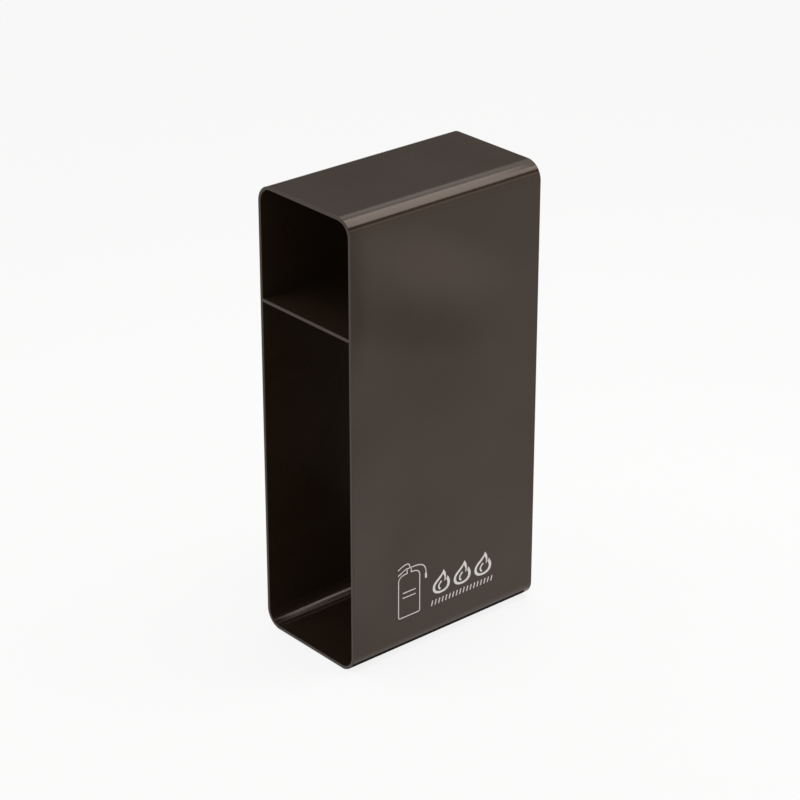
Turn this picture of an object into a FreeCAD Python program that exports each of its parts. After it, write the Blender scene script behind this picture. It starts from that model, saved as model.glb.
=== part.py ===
import FreeCAD, Part
import math
import os

# Fire extinguisher storage box, free standing.
# One sheet is folded into an upright tube with four round bends. The tube is open at
# both ends along X, and one flat shelf parts it into a low and a tall compartment.
# Origin at the middle of the base. X runs along the depth, Y from the printed face
# at -Y to the rear face, Z up. Lengths are in millimetres.

# Outside size of the folded sheet
box_depth = 350.0
box_width = 200.0
box_height = 700.0

# The sheet and its bends
sheet_thickness = 5.0
bend_inner_radius = 22.0
rim_bevel = 0.7

# The closing seam, a shallow V where the two ends of the sheet meet under the base
seam_groove_width = 1.6
seam_groove_depth = 0.5
seam_offset_y = 0.0

# The shelf, which butts against the front and rear walls
shelf_thickness = 5.0
shelf_top_height = 527.0
shelf_edge_bevel = 0.5

vec = FreeCAD.Vector


def rounded_loop(x, y_reach, z_low, z_high, radius):
    """Closed wire in the plane at x: a rectangle with four equal round corners."""
    corners = [
        (y_reach - radius, z_low + radius, -45.0),
        (y_reach - radius, z_high - radius, 45.0),
        (-y_reach + radius, z_high - radius, 135.0),
        (-y_reach + radius, z_low + radius, 225.0),
    ]

    def on_bend(y_centre, z_centre, degrees):
        angle = math.radians(degrees)
        return vec(x, y_centre + radius * math.cos(angle), z_centre + radius * math.sin(angle))

    edges = []
    for index, (y_centre, z_centre, middle) in enumerate(corners):
        start = on_bend(y_centre, z_centre, middle - 45.0)
        crown = on_bend(y_centre, z_centre, middle)
        end = on_bend(y_centre, z_centre, middle + 45.0)
        edges.append(Part.Arc(start, crown, end).toShape())
        y_next, z_next, middle_next = corners[(index + 1) % len(corners)]
        edges.append(Part.LineSegment(end, on_bend(y_next, z_next, middle_next - 45.0)).toShape())
    return Part.Wire(edges)


def end_edges(shape):
    """The edges that lie flat in the two end planes of a shape."""
    low = shape.BoundBox.XMin
    high = shape.BoundBox.XMax
    flat = 1e-3
    found = []
    for edge in shape.Edges:
        box = edge.BoundBox
        if box.XMax - box.XMin < flat and min(box.XMin - low, high - box.XMax) < flat:
            found.append(edge)
    return found


def seam_groove():
    """The V left along the butt joint, with its point inside the sheet."""
    half = seam_groove_width / 2.0
    left = vec(-box_depth / 2.0, seam_offset_y - half, 0.0)
    right = vec(-box_depth / 2.0, seam_offset_y + half, 0.0)
    point = vec(-box_depth / 2.0, seam_offset_y, seam_groove_depth)
    profile = Part.Face(Part.makePolygon([left, right, point, left]))
    return profile.extrude(vec(box_depth, 0.0, 0.0))


def make_shell():
    """The folded sheet: inner and outer bends share their centres, so the wall is even."""
    x_start = -box_depth / 2.0
    along_depth = vec(box_depth, 0.0, 0.0)
    outer = rounded_loop(x_start, box_width / 2.0, 0.0, box_height, bend_inner_radius + sheet_thickness)
    inner = rounded_loop(
        x_start,
        box_width / 2.0 - sheet_thickness,
        sheet_thickness,
        box_height - sheet_thickness,
        bend_inner_radius,
    )
    sheet = Part.Face(outer).extrude(along_depth).cut(Part.Face(inner).extrude(along_depth))
    bevelled = sheet.makeChamfer(rim_bevel, end_edges(sheet))
    return bevelled.cut(seam_groove())


def make_shelf():
    """The flat shelf: as deep as the box, its long sides against the walls."""
    shelf_width = box_width - 2.0 * sheet_thickness
    corner = vec(-box_depth / 2.0, -shelf_width / 2.0, shelf_top_height - shelf_thickness)
    plate = Part.makeBox(box_depth, shelf_width, shelf_thickness, corner)
    along_y = [edge for edge in end_edges(plate) if edge.BoundBox.YLength > shelf_thickness]
    return plate.makeChamfer(shelf_edge_bevel, along_y)


parts = {
    "shell": make_shell(),
    "shelf": make_shelf(),
}

os.makedirs("parts", exist_ok=True)
for name, shape in parts.items():
    solid = shape.Solids[0]
    solid.exportStep("parts/" + name + ".step")
    print(name, "solids", len(shape.Solids), "valid", solid.isValid(), "litres", round(solid.Volume / 1e6, 4))
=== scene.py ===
import math

import bpy
import numpy as np
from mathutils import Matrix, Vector


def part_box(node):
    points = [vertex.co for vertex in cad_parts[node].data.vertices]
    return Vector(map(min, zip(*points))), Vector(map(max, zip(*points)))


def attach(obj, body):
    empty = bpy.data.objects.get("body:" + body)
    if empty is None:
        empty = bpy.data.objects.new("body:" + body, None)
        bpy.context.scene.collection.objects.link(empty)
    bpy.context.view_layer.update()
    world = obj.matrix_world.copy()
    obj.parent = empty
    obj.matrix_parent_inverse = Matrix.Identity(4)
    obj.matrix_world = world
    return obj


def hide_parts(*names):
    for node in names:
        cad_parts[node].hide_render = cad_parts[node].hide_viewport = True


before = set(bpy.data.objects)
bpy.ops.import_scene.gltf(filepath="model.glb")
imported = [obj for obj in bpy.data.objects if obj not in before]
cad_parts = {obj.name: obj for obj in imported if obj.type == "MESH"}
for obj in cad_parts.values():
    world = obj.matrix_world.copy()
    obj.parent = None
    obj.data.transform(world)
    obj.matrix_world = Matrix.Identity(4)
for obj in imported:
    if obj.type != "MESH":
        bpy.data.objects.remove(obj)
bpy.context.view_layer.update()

# Fire extinguisher storage box: one dark folded sheet, one shelf, white printed marks.
# Lengths in the dictionaries are millimetres, everything handed to Blender is metres.

mm = 0.001
shellLow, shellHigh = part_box("shell")
shelfLow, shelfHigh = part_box("shelf")
sheetThickness = shelfLow.y - shellLow.y  # the shelf starts where the front wall ends
sharpTurn = math.radians(31)  # faces that turn more than this meet in a crisp line


# sRGB hex to the linear values that shaders use.
def linearColour(hexCode):
    channels = [int(hexCode[i:i + 2], 16) / 255 for i in (1, 3, 5)]
    linear = [c / 12.92 if c <= 0.04045 else ((c + 0.055) / 1.055) ** 2.4 for c in channels]
    return (*linear, 1.0)


# One node with its settings; an input is a value, or the output that feeds it.
def addNode(tree, kind, settings=None, inputs=None):
    node = tree.nodes.new(kind)
    for name, value in (settings or {}).items():
        setattr(node, name, value)
    for name, value in (inputs or {}).items():
        if isinstance(value, bpy.types.NodeSocket):
            tree.links.new(value, node.inputs[name])
        else:
            node.inputs[name].default_value = value
    return node


def newMaterial(name):
    material = bpy.data.materials.new(name)
    material.use_nodes = True
    material.node_tree.nodes.clear()
    return material, material.node_tree


# A mesh object at the origin from an array of points and a list or array of faces.
def meshObject(name, points, faces, materials, smooth=True):
    mesh = bpy.data.meshes.new(name)
    mesh.from_pydata(points.reshape(-1, 3).tolist(), [], [list(map(int, f)) for f in faces])
    for material in materials:
        mesh.materials.append(material)
    mesh.polygons.foreach_set("use_smooth", np.full(len(mesh.polygons), smooth))
    mesh.update()
    piece = bpy.data.objects.new(name, mesh)
    bpy.context.scene.collection.objects.link(piece)
    return piece


# Quads of a grid that is closed both ways; row r, column c is point r * columns + c.
# Seen with rows to the right and columns up, they turn clockwise; [:, ::-1] turns them over.
def ringFaces(rows, columns):
    r, c = np.meshgrid(np.arange(rows), np.arange(columns), indexing="ij")
    rNext, cNext = (r + 1) % rows, (c + 1) % columns
    quads = [r * columns + c, r * columns + cNext, rNext * columns + cNext, rNext * columns + c]
    return np.stack([q.ravel() for q in quads], axis=1)


# The folded sheet
wrap = {
    "bendRadius": 27.0,      # outside of each bend
    "bendSteps": 64,         # facets in each bend
    "edgeRadius": 0.8,       # the broken edges of the rims
    "edgeSteps": 4,
    "holdLine": 0.5,         # extra line beside each bend and edge, which keeps the flats flat
    "seamWidth": 1.6,
    "seamDepth": 0.5,
}


# Closed line of the sheet's outer face in Y and Z, with outward normals and the length run so far.
# Flats are straight lines; a bend is centre + radius * (cos a, sin a) over a quarter turn.
# It starts and ends at the seam, in the middle of the underside.
def sheetPath():
    radius, hold = wrap["bendRadius"] * mm, wrap["holdLine"] * mm
    seam = wrap["seamWidth"] * mm / 2
    yLow, yHigh, zLow, zHigh = shellLow.y, shellHigh.y, shellLow.z, shellHigh.z
    turn = np.linspace(0, math.pi / 2, wrap["bendSteps"] + 1)
    centres = [(yHigh - radius, zLow + radius, -math.pi / 2), (yHigh - radius, zHigh - radius, 0.0),
               (yLow + radius, zHigh - radius, math.pi / 2), (yLow + radius, zLow + radius, math.pi)]
    spots, normals = [], []

    def addFlat(start, end, normal, cuts):
        start, end = np.array(start), np.array(end)
        along = (end - start) / np.linalg.norm(end - start)
        for distance in cuts:
            spots.append(start + along * distance)
            normals.append(normal)

    addFlat((0.0, zLow), (yHigh, zLow), (0.0, -1.0), [0.0, seam, seam + hold, yHigh - radius - hold])
    for index, (yCentre, zCentre, begin) in enumerate(centres):
        angles = begin + turn
        normal = np.stack([np.cos(angles), np.sin(angles)], axis=1)
        spots.extend(np.array([yCentre, zCentre]) + radius * normal)
        normals.extend(normal)
        last = spots[-1]
        if index < 3:
            yNext, zNext, beginNext = centres[index + 1]
            target = np.array([yNext, zNext]) + radius * np.array([math.cos(beginNext), math.sin(beginNext)])
            span = np.linalg.norm(target - last)
            addFlat(last, target, normal[-1], [hold, span - hold])
        else:
            span = -last[0]
            addFlat(last, (0.0, zLow), (0.0, -1.0), [hold, span - seam - hold, span - seam])
    spots, normals = np.array(spots), np.array(normals)
    gaps = np.linalg.norm(np.roll(spots, -1, axis=0) - spots, axis=1)
    return spots, normals, np.concatenate([[0.0], np.cumsum(gaps)])


# The sheet cut along X: depth below the outer face, place along X, and whether the edge ahead is rim.
# A long thin rectangle with quarter-round corners, walked round once.
def sheetSection():
    radius, hold = wrap["edgeRadius"] * mm, wrap["holdLine"] * mm
    xLow, xHigh = shellLow.x, shellHigh.x
    turn = np.linspace(0, math.pi / 2, wrap["edgeSteps"] + 1)
    corners = [(radius, xHigh - radius, 0.0), (sheetThickness - radius, xHigh - radius, math.pi / 2),
               (sheetThickness - radius, xLow + radius, math.pi), (radius, xLow + radius, 1.5 * math.pi)]
    inset, along, rim = [], [], []
    for index, (insetCentre, xCentre, begin) in enumerate(corners):
        angles = begin + turn
        inset.extend(insetCentre - radius * np.cos(angles))
        along.extend(xCentre + radius * np.sin(angles))
        rim.extend([True] * len(angles))
        insetNext, xNext, beginNext = corners[(index + 1) % 4]
        target = np.array([insetNext - radius * math.cos(beginNext), xNext + radius * math.sin(beginNext)])
        last = np.array([inset[-1], along[-1]])
        step = (target - last) / np.linalg.norm(target - last)
        for spot in (last + step * hold, target - step * hold):
            inset.append(spot[0])
            along.append(spot[1])
        flatIsRim = index % 2 == 0
        rim[-1] = flatIsRim
        rim.extend([flatIsRim, flatIsRim])
    return np.array(inset), np.array(along), np.array(rim)


# Point (u, v) = path(u) - normal(u) * inset(v), at X along(v); the seam adds a V to the inset.
def buildWrap(materials):
    spots, normals, run = sheetPath()
    inset, along, rim = sheetSection()
    rows, columns = len(spots), len(inset)
    fromSeam = np.minimum(run[:-1], run[-1] - run[:-1])
    groove = wrap["seamDepth"] * mm * np.clip(1 - fromSeam / (wrap["seamWidth"] * mm / 2), 0, 1)
    outerShare = np.clip(1 - inset / sheetThickness * 2, 0, 1)
    depth = inset[None, :] + groove[:, None] * outerShare[None, :]
    points = np.empty((rows, columns, 3))
    points[:, :, 0] = along[None, :]
    points[:, :, 1] = spots[:, 0, None] - normals[:, 0, None] * depth
    points[:, :, 2] = spots[:, 1, None] - normals[:, 1, None] * depth
    faces = ringFaces(rows, columns)[:, ::-1]
    piece = meshObject("foldedSheet", points, faces, materials)
    mesh = piece.data
    mesh.polygons.foreach_set("material_index", np.tile(rim, rows).astype(np.int32))
    # UV in metres: x runs round the folded sheet, y across it
    uv = mesh.uv_layers.new(name="sheetRun")
    corner = faces.reshape(-1)
    rowOf, columnOf = corner // columns, corner % columns
    lastRow = np.repeat(np.arange(rows) == rows - 1, columns * 4)
    runAt = np.where(lastRow & (rowOf == 0), run[-1], run[rowOf])
    uv.data.foreach_set("uv", np.stack([runAt, along[columnOf]], axis=1).ravel())
    mesh.set_sharp_from_angle(angle=sharpTurn)
    return piece


# The shelf
shelf = {"edgeRadius": 0.6, "edgeSteps": 4, "holdLine": 0.4}


# A rounded rectangle in X and Z carried along Y from wall to wall, with both ends closed.
def buildShelf(materials):
    radius, hold = shelf["edgeRadius"] * mm, shelf["holdLine"] * mm
    turn = np.linspace(0, math.pi / 2, shelf["edgeSteps"] + 1)
    corners = [(shelfHigh.x - radius, shelfLow.z + radius, -math.pi / 2),
               (shelfHigh.x - radius, shelfHigh.z - radius, 0.0),
               (shelfLow.x + radius, shelfHigh.z - radius, math.pi / 2),
               (shelfLow.x + radius, shelfLow.z + radius, math.pi)]
    section, edge = [], []
    for index, (xCentre, zCentre, begin) in enumerate(corners):
        angles = begin + turn
        arc = np.array([xCentre, zCentre]) + radius * np.stack([np.cos(angles), np.sin(angles)], axis=1)
        xNext, zNext, beginNext = corners[(index + 1) % 4]
        target = np.array([xNext + radius * math.cos(beginNext), zNext + radius * math.sin(beginNext)])
        step = (target - arc[-1]) / np.linalg.norm(target - arc[-1])
        section.extend([*arc, arc[-1] + step * hold, target - step * hold])
        flatIsEdge = index % 2 == 0
        edge.extend([True] * (len(arc) - 1) + [flatIsEdge] * 3)
    section, edge = np.array(section), np.array(edge)
    across = np.array([shelfLow.y, shelfLow.y + hold, shelfHigh.y - hold, shelfHigh.y])
    rows, columns = len(across), len(section)
    points = np.empty((rows, columns, 3))
    points[:, :, 0] = section[None, :, 0]
    points[:, :, 1] = across[:, None]
    points[:, :, 2] = section[None, :, 1]
    quads = ringFaces(rows, columns)[:(rows - 1) * columns, ::-1]
    caps = [list(range(columns)), list(range((rows - 1) * columns, rows * columns))[::-1]]
    piece = meshObject("shelfPlate", points, [*quads, *caps], materials)
    mesh = piece.data
    index = np.concatenate([np.tile(edge, rows - 1), [False, False]])
    mesh.polygons.foreach_set("material_index", index.astype(np.int32))
    uv = mesh.uv_layers.new(name="sheetRun")
    corner = np.concatenate([quads.reshape(-1), *caps])
    flat = points.reshape(-1, 3)
    uv.data.foreach_set("uv", np.stack([flat[corner, 0], flat[corner, 1]], axis=1).ravel())
    mesh.set_sharp_from_angle(angle=sharpTurn)
    return piece


# The white marks low on the front face. Places are X from the open end and Z from the base.
marks = {
    "inkHeight": 0.06,
    # the bottle's outline: rises count from the shoulder, blockReach from the neck,
    # hoseReach from the right side and hoseDrop from the top
    "bottle": {
        "left": 85.0, "right": 125.5, "low": 60.0, "shoulder": 119.5, "line": 1.5,
        "footRadius": 3.0, "neck": 4.0, "domeRise": 11.0, "topRise": 17.0, "blockReach": 2.5,
        "hoseReach": 12.0, "hoseDrop": 18.0, "nozzle": 8.0, "nozzleLine": 3.6,
        "bands": (100.0, 92.0), "bandInset": 8.0,
    },
    # ring is the size of the flame's inner outline as a share of the outer one
    "flames": {
        "count": 3, "middle": 167.5, "pitch": 41.0, "low": 75.0, "wide": 1.12, "tall": 0.97,
        "ring": 0.72, "tongueLine": 2.8,
    },
    "rule": {"from": 148.5, "to": 266.0, "low": 59.0, "high": 67.5, "pitch": 6.9, "slant": 2.4, "line": 1.9},
}


# Points centre + radius * (cos a, sin a), with a in degrees from begin to end.
def arcPoints(centre, radius, begin, end, steps):
    angle = np.radians(np.linspace(begin, end, steps))
    return np.stack([centre[0] + radius * np.cos(angle), centre[1] + radius * np.sin(angle)], axis=1)


# Cubic curve (1-t)^3 a + 3 (1-t)^2 t b + 3 (1-t) t^2 c + t^3 d.
def bezierPoints(a, b, c, d, steps):
    t = np.linspace(0, 1, steps)[:, None]
    a, b, c, d = (np.array(p, float) for p in (a, b, c, d))
    return (1 - t) ** 3 * a + 3 * (1 - t) ** 2 * t * b + 3 * (1 - t) * t ** 2 * c + t ** 3 * d


# The two sides of a stroke: line +- normal * width / 2, longer at a corner by 1 / cos of half the turn.
def strokeSides(line, width):
    line = np.asarray(line, float)
    ahead = np.diff(line, axis=0)
    ahead /= np.linalg.norm(ahead, axis=1)[:, None]
    behind = np.concatenate([ahead[:1], ahead])
    ahead = np.concatenate([ahead, ahead[-1:]])
    tangent = ahead + behind
    tangent /= np.linalg.norm(tangent, axis=1)[:, None]
    reach = width / 2 / np.clip((tangent * ahead).sum(axis=1), 0.5, 1)
    side = np.stack([-tangent[:, 1], tangent[:, 0]], axis=1) * reach[:, None]
    return line + side, line - side


# A film of ink between two sides that run together: a flat strip with a top, two flanks and a back.
def inkStrip(sides, closed):
    left, right = sides
    height = marks["inkHeight"]
    section = [(left, 0.0), (left, height), (right, height), (right, 0.0)]
    rows, columns = len(left), len(section)
    points = np.empty((rows, columns, 3))
    for column, (side, lift) in enumerate(section):
        points[:, column, 0] = side[:, 0]
        points[:, column, 1] = -lift
        points[:, column, 2] = side[:, 1]
    faces = ringFaces(rows, columns)
    if closed:
        return points.reshape(-1, 3), faces.tolist()
    ends = [[3, 2, 1, 0], [(rows - 1) * columns + column for column in range(columns)]]
    return points.reshape(-1, 3), faces[:(rows - 1) * columns].tolist() + ends


# A plain pressure bottle in outline: body with a domed top, valve block, two levers, hose and nozzle.
# Each is one stroke, and strokes meet end to end.
def bottleStrips():
    size = marks["bottle"]
    left, right, low, shoulder = size["left"], size["right"], size["low"], size["shoulder"]
    line, neck, corner = size["line"], size["neck"], size["footRadius"]
    middle = (left + right) / 2
    dome, top = shoulder + size["domeRise"], shoulder + size["topRise"]
    blockLeft, blockRight = middle - neck - size["blockReach"], middle + neck + size["blockReach"]
    body = np.concatenate([
        [(middle - neck, top), (middle - neck, dome)],
        bezierPoints((middle - neck, dome), (left + neck, dome), (left, dome - neck),
                     (left, shoulder), 14)[1:],
        arcPoints((left + corner, low + corner), corner, 180, 270, 8),
        arcPoints((right - corner, low + corner), corner, 270, 360, 8),
        bezierPoints((right, shoulder), (right, dome - neck), (right - neck, dome),
                     (middle + neck, dome), 14),
        [(middle + neck, top)]])
    block = np.array([(blockLeft, top + line), (blockRight, top + line)])
    hoseX, hoseLow = right + size["hoseReach"], top - size["hoseDrop"]
    hose = bezierPoints((blockRight, top + line), (right + 8.0, top + line), (hoseX, top - 6.0),
                        (hoseX, hoseLow), 22)
    nozzle = np.array([(hoseX, hoseLow), (hoseX, hoseLow - size["nozzle"])])
    lowLever = np.array([(blockLeft, top + line), (left - 1.0, top - 5.0)])
    highLever = bezierPoints((middle + 1.0, top + 2 * line), (middle + 1.0, top + 12.0),
                             (middle - 8.0, top + 11.0), (left - 1.0, top + 4.0), 16)
    inset = size["bandInset"]
    bands = [np.array([(left + inset, z), (right - inset, z)]) for z in size["bands"]]
    strokes = [(stroke, line) for stroke in (body, block, hose, lowLever, highLever, *bands)]
    strokes.append((nozzle, size["nozzleLine"]))
    return [(strokeSides(stroke, width), False) for stroke, width in strokes]


# Plain flame figures in a row. One flame is six cubic curves round two tongues; its ring lies between that
# outline and the same outline shrunk towards a point low in the middle. A small stroke stands inside.
def flameStrips():
    size = marks["flames"]
    scale = np.array([size["wide"], size["tall"]])
    outline = np.concatenate([
        bezierPoints((3.5, 38.5), (1.0, 28.0), (-15.0, 24.0), (-15.0, 12.5), 16)[:-1],
        bezierPoints((-15.0, 12.5), (-15.0, 4.0), (-8.0, 0.0), (0.0, 0.0), 12)[:-1],
        bezierPoints((0.0, 0.0), (8.5, 0.0), (15.0, 4.5), (15.0, 13.0), 12)[:-1],
        bezierPoints((15.0, 13.0), (15.0, 18.0), (13.0, 21.5), (10.5, 25.5), 8)[:-1],
        bezierPoints((10.5, 25.5), (10.2, 22.0), (9.0, 20.0), (7.2, 19.0), 6)[:-1],
        bezierPoints((7.2, 19.0), (9.0, 26.0), (8.0, 33.0), (3.5, 38.5), 10)[:-1]])
    heart = np.array([-0.5, 13.0])
    inner = heart + (outline - heart) * size["ring"]
    tongue = bezierPoints((0.5, 20.0), (-5.5, 15.0), (-6.0, 10.0), (-1.5, 7.0), 12)
    found = []
    for index in range(size["count"]):
        shift = np.array([size["middle"] + index * size["pitch"], size["low"]])
        found.append(((inner * scale + shift, outline * scale + shift), True))
        found.append((strokeSides(tongue * scale + shift, size["tongueLine"]), False))
    return found


# A row of short slanting strokes under the flames, from (x, low) to (x + slant, high).
def ruleStrips():
    size = marks["rule"]
    starts = np.arange(size["from"], size["to"], size["pitch"])
    return [(strokeSides([(x, size["low"]), (x + size["slant"], size["high"])], size["line"]), False)
            for x in starts]


# All strips in one mesh, moved from the face's own X and Z to the front wall.
def buildMarks(material):
    points, faces, count = [], [], 0
    for sides, closed in bottleStrips() + flameStrips() + ruleStrips():
        stripPoints, stripFaces = inkStrip(sides, closed)
        points.append(stripPoints)
        faces.extend([[i + count for i in face] for face in stripFaces])
        count += len(stripPoints)
    points = np.concatenate(points) * mm + np.array(shellLow)
    return meshObject("frontMarks", points, faces, [material], smooth=False)


# The plate's finish
bronze = {
    "deep": "#2b1d0b",        # darkest tone: clouds of the dyed oxide, and the painted shade on the front wall
    "light": "#43362d",       # lightest tone, a little greyer: clouds of the oxide, and the painted reflections on the front wall
    "metal": 0.45,            # the rest of the look is the clear oxide on top, whose gloss is neutral
    "cloud": 160.0,           # mm across one faint cloud
    "cloudShare": 0.14,       # how much of the tone the faint clouds take
    "roughness": 0.15,
    "grain": 0.9,             # mm across the rolled grain, drawn coarser than the real one so that it shows
    "grainLength": 60.0,
    "wave": 120.0,            # mm between the faint waves of a folded sheet
    # painted reflections and painted shade on the front wall, soft lighter and darker patches in the colour
    # that stand in for reflections of the room and floor: middle X and Z, half sizes, tilt in degrees,
    # strength
    "paintedReflections": [
        (-25.0, 600.0, 195.0, 62.0, 25.0, 0.52),
        (-75.0, 522.0, 215.0, 56.0, 22.0, -0.36),
        (-190.0, 600.0, 56.0, 190.0, 0.0, -0.70),
        (0.0, 130.0, 420.0, 300.0, 0.0, 0.20),
        (-175.0, 190.0, 100.0, 150.0, 0.0, 0.28),
    ],
}


# Dark bronze anodised aluminium plate: rolled smooth, dyed in the bath, sealed to a deep gloss.
# The brown lies in the oxide, and the clear skin over it mirrors softly and without colour.
# Faint clouds of tone and a trace of the rolled grain run round the sheet. On the front wall, soft lighter
# and darker patches are painted reflections and painted shade in the colour.
def bronzeSheet():
    material, tree = newMaterial("darkBronzeAnodisedPlate")
    coord = addNode(tree, "ShaderNodeTexCoord")
    cloud = addNode(tree, "ShaderNodeTexNoise", {"noise_dimensions": "3D"},
                    {"Vector": coord.outputs["Object"], "Scale": 1 / (bronze["cloud"] * mm), "Detail": 2.0,
                     "Roughness": 0.45})
    share = bronze["cloudShare"]
    tone = addNode(tree, "ShaderNodeMapRange", None,
                   {"Value": cloud.outputs["Fac"], "From Min": 0.3, "From Max": 0.7,
                    "To Min": 0.5 - share, "To Max": 0.5 + share}).outputs["Result"]
    # Painted reflections and painted shade: each patch adds a soft lighter or darker spot to the front
    # wall's tone
    for x, z, halfX, halfZ, tilt, strength in bronze["paintedReflections"]:
        place = addNode(tree, "ShaderNodeMapping", {"vector_type": "TEXTURE"},
                        {"Vector": coord.outputs["Object"],
                         "Location": (x * mm, shellLow.y, z * mm),
                         "Rotation": (0.0, math.radians(tilt), 0.0),
                         "Scale": (halfX * mm, 0.03, halfZ * mm)})
        ball = addNode(tree, "ShaderNodeTexGradient", {"gradient_type": "SPHERICAL"},
                       {"Vector": place.outputs["Vector"]})
        soft = addNode(tree, "ShaderNodeMapRange", {"interpolation_type": "SMOOTHSTEP"},
                       {"Value": ball.outputs["Fac"], "From Min": 0.0, "From Max": 0.85,
                        "To Min": 0.0, "To Max": strength})
        tone = addNode(tree, "ShaderNodeMath", {"operation": "ADD"}, {0: tone, 1: soft.outputs["Result"]}
                       ).outputs["Value"]
    colour = addNode(tree, "ShaderNodeMix", {"data_type": "RGBA", "clamp_factor": True},
                     {"Factor": tone, "A": linearColour(bronze["deep"]), "B": linearColour(bronze["light"])})
    run = addNode(tree, "ShaderNodeUVMap", {"uv_map": "sheetRun"})
    stretch = addNode(tree, "ShaderNodeMapping", None,
                      {"Vector": run.outputs["UV"],
                       "Scale": (1 / (bronze["grainLength"] * mm), 1 / (bronze["grain"] * mm), 1.0)})
    grain = addNode(tree, "ShaderNodeTexNoise", {"noise_dimensions": "2D"},
                    {"Vector": stretch.outputs["Vector"], "Scale": 1.0, "Detail": 3.0, "Roughness": 0.6})
    rough = addNode(tree, "ShaderNodeMapRange", None,
                    {"Value": grain.outputs["Fac"], "From Min": 0.3, "From Max": 0.7,
                     "To Min": bronze["roughness"] - 0.03, "To Max": bronze["roughness"] + 0.04})
    wave = addNode(tree, "ShaderNodeTexNoise", {"noise_dimensions": "3D"},
                   {"Vector": coord.outputs["Object"], "Scale": 1 / (bronze["wave"] * mm), "Detail": 0.0})
    waveBump = addNode(tree, "ShaderNodeBump", None,
                       {"Height": wave.outputs["Fac"], "Strength": 0.25, "Distance": 0.3 * mm})
    grainBump = addNode(tree, "ShaderNodeBump", None,
                        {"Height": grain.outputs["Fac"], "Strength": 0.12, "Distance": 0.01 * mm,
                         "Normal": waveBump.outputs["Normal"]})
    shader = addNode(tree, "ShaderNodeBsdfPrincipled", None,
                     {"Base Color": colour.outputs["Result"], "Metallic": bronze["metal"],
                      "Roughness": rough.outputs["Result"], "Normal": grainBump.outputs["Normal"]})
    addNode(tree, "ShaderNodeOutputMaterial", None, {"Surface": shader.outputs["BSDF"]})
    return material


# The plate's cut rims
filedEdge = {
    "deep": "#382d25",
    "light": "#41362e",
    "filed": 1.4,             # mm across the file's marks, drawn coarser than the real ones
    "roughness": (0.30, 0.42),
}


# The sawn and filed edge of the same plate, dyed with it: a satin line that catches more light.
def cutEdge():
    material, tree = newMaterial("filedPlateEdge")
    coord = addNode(tree, "ShaderNodeTexCoord")
    filed = addNode(tree, "ShaderNodeTexNoise", {"noise_dimensions": "3D"},
                    {"Vector": coord.outputs["Object"], "Scale": 1 / (filedEdge["filed"] * mm),
                     "Detail": 2.0})
    colour = addNode(tree, "ShaderNodeMix", {"data_type": "RGBA"},
                     {"Factor": filed.outputs["Fac"], "A": linearColour(filedEdge["deep"]),
                      "B": linearColour(filedEdge["light"])})
    smooth, coarse = filedEdge["roughness"]
    rough = addNode(tree, "ShaderNodeMapRange", None,
                    {"Value": filed.outputs["Fac"], "From Min": 0.3, "From Max": 0.7,
                     "To Min": smooth, "To Max": coarse})
    bump = addNode(tree, "ShaderNodeBump", None,
                   {"Height": filed.outputs["Fac"], "Strength": 0.2, "Distance": 0.02 * mm})
    shader = addNode(tree, "ShaderNodeBsdfPrincipled", None,
                     {"Base Color": colour.outputs["Result"], "Metallic": bronze["metal"],
                      "Roughness": rough.outputs["Result"], "Normal": bump.outputs["Normal"]})
    addNode(tree, "ShaderNodeOutputMaterial", None, {"Surface": shader.outputs["BSDF"]})
    return material


# The ink; patch is mm across a thin place
whiteInk = {"thin": "#dedad4", "full": "#f4f1ec", "patch": 2.5, "roughness": 0.45}


# White screen ink: squeezed through a mesh and cured to a satin film, a little thin in places.
def screenInk():
    material, tree = newMaterial("whiteScreenInk")
    coord = addNode(tree, "ShaderNodeTexCoord")
    film = addNode(tree, "ShaderNodeTexNoise", {"noise_dimensions": "3D"},
                   {"Vector": coord.outputs["Object"], "Scale": 1 / (whiteInk["patch"] * mm), "Detail": 2.0})
    colour = addNode(tree, "ShaderNodeMix", {"data_type": "RGBA"},
                     {"Factor": film.outputs["Fac"], "A": linearColour(whiteInk["thin"]),
                      "B": linearColour(whiteInk["full"])})
    shader = addNode(tree, "ShaderNodeBsdfPrincipled", None,
                     {"Base Color": colour.outputs["Result"], "Roughness": whiteInk["roughness"]})
    addNode(tree, "ShaderNodeOutputMaterial", None, {"Surface": shader.outputs["BSDF"]})
    return material


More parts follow.
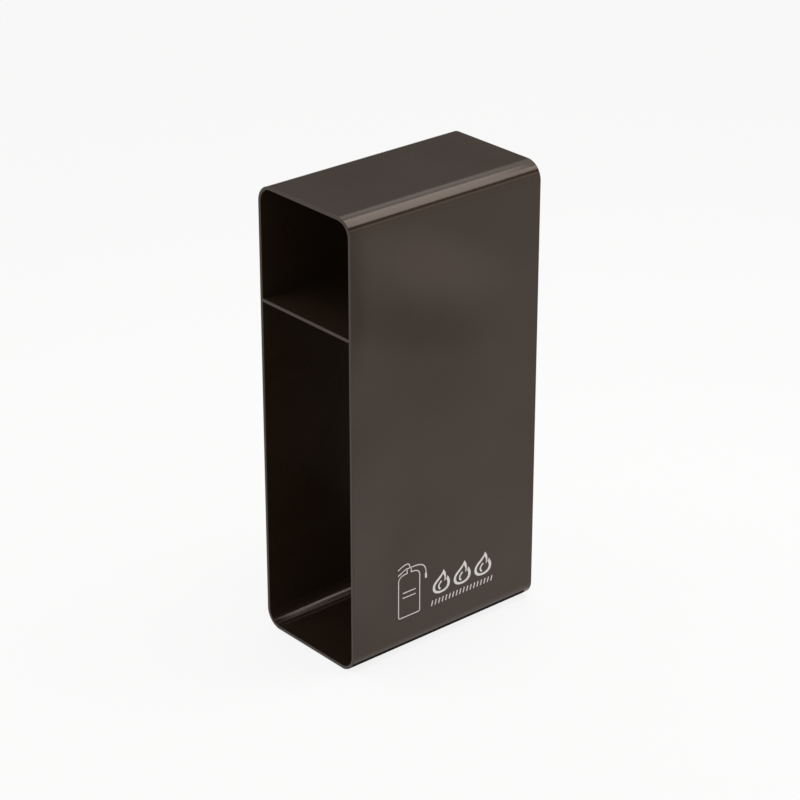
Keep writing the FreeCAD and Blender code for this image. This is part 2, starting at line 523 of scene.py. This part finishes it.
# Studio. Lengths here are metres, light levels are times white.
studio = {
    "floorHalf": 12.0,
    "floorColour": "#f0efed",
    "floorGlow": 0.85,          # share of plain white that cameras and mirrors see in the floor
    "mirrorInset": 0.0015,      # for mirrors that white starts this far inside the box's footprint
    "cameraInset": 0.0225,      # and for cameras where the lower bends nearly touch the floor
    "glowEdge": 0.0025,         # it is whole after this
    "contactShade": "#4b4947",  # painted contact shadow: the floor's colour under the box
    "worldFill": 0.65,          # what the world gives to matt surfaces
    "worldSeen": 0.925,
    # how bright mirrors see the room, by the upward part of the ray: in front of the box, and behind it
    "roomAhead": [(0.0, 1.0), (0.12, 1.05), (0.2, 0.8), (0.27, 0.8), (0.33, 1.5), (0.38, 1.5),
                  (0.46, 0.35), (0.5, 0.15), (1.0, 0.1)],
    "roomBehind": [(0.0, 0.15), (0.3, 0.15), (0.34, 0.2), (0.37, 0.22), (0.46, 0.6), (0.54, 0.9),
                   (1.0, 0.9)],
    "roomTurn": (0.05, 0.3),    # the part of the ray along +Y over which the first gives way to the second
    "boxHeight": 1.45,
    # soft boxes over the box: lowest and highest X, lowest and highest Y, level
    "softBoxes": {
        "frontSoftBox": (0.15, 0.80, -0.75, 0.07, 3.8),
        "frontSoftBoxEnd": (0.80, 1.02, -0.75, -0.27, 3.8),
        "frontFill": (0.15, 0.92, 0.07, 0.70, 0.55),
        "rearSoftBox": (-0.92, -0.15, 0.02, 0.76, 2.0),
    },
}
camera = {
    "spot": (-2297.3, -2672.1, 2015.3),   # mm, where the camera that fits the photograph's edges stands
    "yaw": 40.67,                         # degrees from +Y towards +X
    "pitch": -25.31,
    "lens": 120.97,                       # mm on the 36 mm sensor
}


# A matt pale floor. Cameras and mirrors see most of it as plain white, but not under the box, where the
# floor's colour is a painted contact shadow, so the line where the box stands stays dark. Its distance from
# a zone under the box is length(max(abs(place) - half size of the zone, 0)), and mirrors have a wider zone
# than cameras.
def buildFloor():
    half = studio["floorHalf"]
    material, tree = newMaterial("paleStudioFloor")
    coord = addNode(tree, "ShaderNodeTexCoord")
    place = addNode(tree, "ShaderNodeVectorMath", {"operation": "ABSOLUTE"}, {0: coord.outputs["Object"]})
    distances = []
    for inset in (studio["mirrorInset"], studio["cameraInset"]):
        away = addNode(tree, "ShaderNodeVectorMath", {"operation": "SUBTRACT"},
                       {0: place.outputs["Vector"],
                        1: (shellHigh.x - studio["mirrorInset"], shellHigh.y - inset, 1.0)})
        outside = addNode(tree, "ShaderNodeVectorMath", {"operation": "MAXIMUM"},
                          {0: away.outputs["Vector"], 1: (0.0, 0.0, 0.0)})
        distances.append(addNode(tree, "ShaderNodeVectorMath", {"operation": "LENGTH"},
                                 {0: outside.outputs["Vector"]}).outputs["Value"])
    path = addNode(tree, "ShaderNodeLightPath")
    reach = addNode(tree, "ShaderNodeMix", {"data_type": "FLOAT"},
                    {"Factor": path.outputs["Is Camera Ray"], "A": distances[0], "B": distances[1]})
    bare = addNode(tree, "ShaderNodeMapRange", {"interpolation_type": "SMOOTHSTEP"},
                   {"Value": reach.outputs["Result"], "From Min": 0.0, "From Max": studio["glowEdge"]})
    # Painted contact shadow: under the box the floor's colour turns to the dark contactShade
    colour = addNode(tree, "ShaderNodeMix", {"data_type": "RGBA"},
                     {"Factor": bare.outputs["Result"], "A": linearColour(studio["contactShade"]),
                      "B": linearColour(studio["floorColour"])})
    share = addNode(tree, "ShaderNodeMath", {"operation": "MULTIPLY"},
                    {0: bare.outputs["Result"], 1: studio["floorGlow"]}).outputs["Value"]
    seen = addNode(tree, "ShaderNodeMath", {"operation": "MAXIMUM"},
                   {0: path.outputs["Is Camera Ray"], 1: path.outputs["Is Glossy Ray"]})
    seen = addNode(tree, "ShaderNodeMath", {"operation": "MAXIMUM"},
                   {0: seen.outputs["Value"], 1: path.outputs["Is Transmission Ray"]})
    share = addNode(tree, "ShaderNodeMath", {"operation": "MULTIPLY"}, {0: seen.outputs["Value"], 1: share})
    matt = addNode(tree, "ShaderNodeBsdfDiffuse", None, {"Color": colour.outputs["Result"]})
    white = addNode(tree, "ShaderNodeEmission", None, {"Color": (1.0, 1.0, 1.0, 1.0), "Strength": 1.0})
    mix = addNode(tree, "ShaderNodeMixShader", None,
                  {"Fac": share.outputs["Value"], 1: matt.outputs["BSDF"], 2: white.outputs["Emission"]})
    addNode(tree, "ShaderNodeOutputMaterial", None, {"Surface": mix.outputs["Shader"]})
    level = shellLow.z - 0.05 * mm
    corners = np.array([[-half, -half, level], [half, -half, level],
                        [half, half, level], [-half, half, level]])
    floor = meshObject("studioFloor", corners, [[0, 1, 2, 3]], [material], smooth=False)


# The room: an even fill for matt surfaces, pale for the camera, and for mirrors a soft run of levels
# from the horizon up, so that the soft boxes stand out in the bends.
def buildWorld():
    world = bpy.data.worlds.new("paleStudioRoom")
    bpy.context.scene.world = world
    world.use_nodes = True
    tree = world.node_tree
    tree.nodes.clear()
    white = (1.0, 1.0, 1.0, 1.0)
    path = addNode(tree, "ShaderNodeLightPath")
    coord = addNode(tree, "ShaderNodeTexCoord")
    way = addNode(tree, "ShaderNodeSeparateXYZ", None, {"Vector": coord.outputs["Generated"]})
    rooms = []
    for stops in (studio["roomAhead"], studio["roomBehind"]):
        brightest = max(level for place, level in stops)
        ramp = addNode(tree, "ShaderNodeValToRGB", None, {"Fac": way.outputs["Z"]})
        elements = ramp.color_ramp.elements
        elements[0].position, elements[1].position = stops[0][0], stops[-1][0]
        elements[0].color = (*[stops[0][1] / brightest] * 3, 1.0)
        elements[1].color = (*[stops[-1][1] / brightest] * 3, 1.0)
        for place, level in stops[1:-1]:
            elements.new(place).color = (*[level / brightest] * 3, 1.0)
        rooms.append(addNode(tree, "ShaderNodeBackground", None,
                             {"Color": ramp.outputs["Color"], "Strength": brightest}).outputs["Background"])
    turn = addNode(tree, "ShaderNodeMapRange", {"interpolation_type": "SMOOTHSTEP"},
                   {"Value": way.outputs["Y"], "From Min": studio["roomTurn"][0],
                    "From Max": studio["roomTurn"][1]})
    mirrored = addNode(tree, "ShaderNodeMixShader", None,
                       {"Fac": turn.outputs["Result"], 1: rooms[0], 2: rooms[1]})
    fill = addNode(tree, "ShaderNodeBackground", None, {"Color": white, "Strength": studio["worldFill"]})
    pale = addNode(tree, "ShaderNodeBackground", None, {"Color": white, "Strength": studio["worldSeen"]})
    forMirrors = addNode(tree, "ShaderNodeMixShader", None,
                         {"Fac": path.outputs["Is Glossy Ray"], 1: fill.outputs["Background"],
                          2: mirrored.outputs["Shader"]})
    forCamera = addNode(tree, "ShaderNodeMixShader", None,
                        {"Fac": path.outputs["Is Camera Ray"], 1: forMirrors.outputs["Shader"],
                         2: pale.outputs["Background"]})
    addNode(tree, "ShaderNodeOutputWorld", None, {"Surface": forCamera.outputs["Shader"]})


def buildSoftBoxes():
    for name, (xLow, xHigh, yLow, yHigh, level) in studio["softBoxes"].items():
        lamp = bpy.data.lights.new(name, "AREA")
        lamp.shape = "RECTANGLE"
        lamp.size, lamp.size_y = xHigh - xLow, yHigh - yLow
        lamp.energy = level * math.pi * lamp.size * lamp.size_y  # radiance = power / (pi * area)
        holder = bpy.data.objects.new(name, lamp)
        bpy.context.scene.collection.objects.link(holder)
        holder.location = ((xLow + xHigh) / 2, (yLow + yHigh) / 2, studio["boxHeight"])
        holder.visible_camera = False


def buildCamera():
    yaw, pitch = math.radians(camera["yaw"]), math.radians(camera["pitch"])
    ahead = Vector((math.sin(yaw) * math.cos(pitch), math.cos(yaw) * math.cos(pitch), math.sin(pitch)))
    lens = bpy.data.cameras.new("photoCamera")
    lens.sensor_width = 36.0
    lens.lens = camera["lens"]
    lens.clip_start, lens.clip_end = 0.05, 100.0
    holder = bpy.data.objects.new("photoCamera", lens)
    bpy.context.scene.collection.objects.link(holder)
    holder.location = Vector(camera["spot"]) * mm
    holder.rotation_euler = ahead.to_track_quat("-Z", "Y").to_euler()
    bpy.context.scene.camera = holder


bpy.context.scene.view_settings.view_transform = "Standard"
buildFloor()
buildWorld()
buildSoftBoxes()
buildCamera()
print("studio and camera ready")

plate, edge, ink = bronzeSheet(), cutEdge(), screenInk()
print("materials ready")

foldedSheet = buildWrap([plate, edge])
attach(foldedSheet, "root")
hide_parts("shell")
print("folded sheet:", len(foldedSheet.data.polygons), "faces")

shelfPlate = buildShelf([plate, edge])
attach(shelfPlate, "root")
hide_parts("shelf")
print("shelf:", len(shelfPlate.data.polygons), "faces")

frontMarks = buildMarks(ink)
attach(frontMarks, "root")
print("printed marks:", len(frontMarks.data.polygons), "faces")
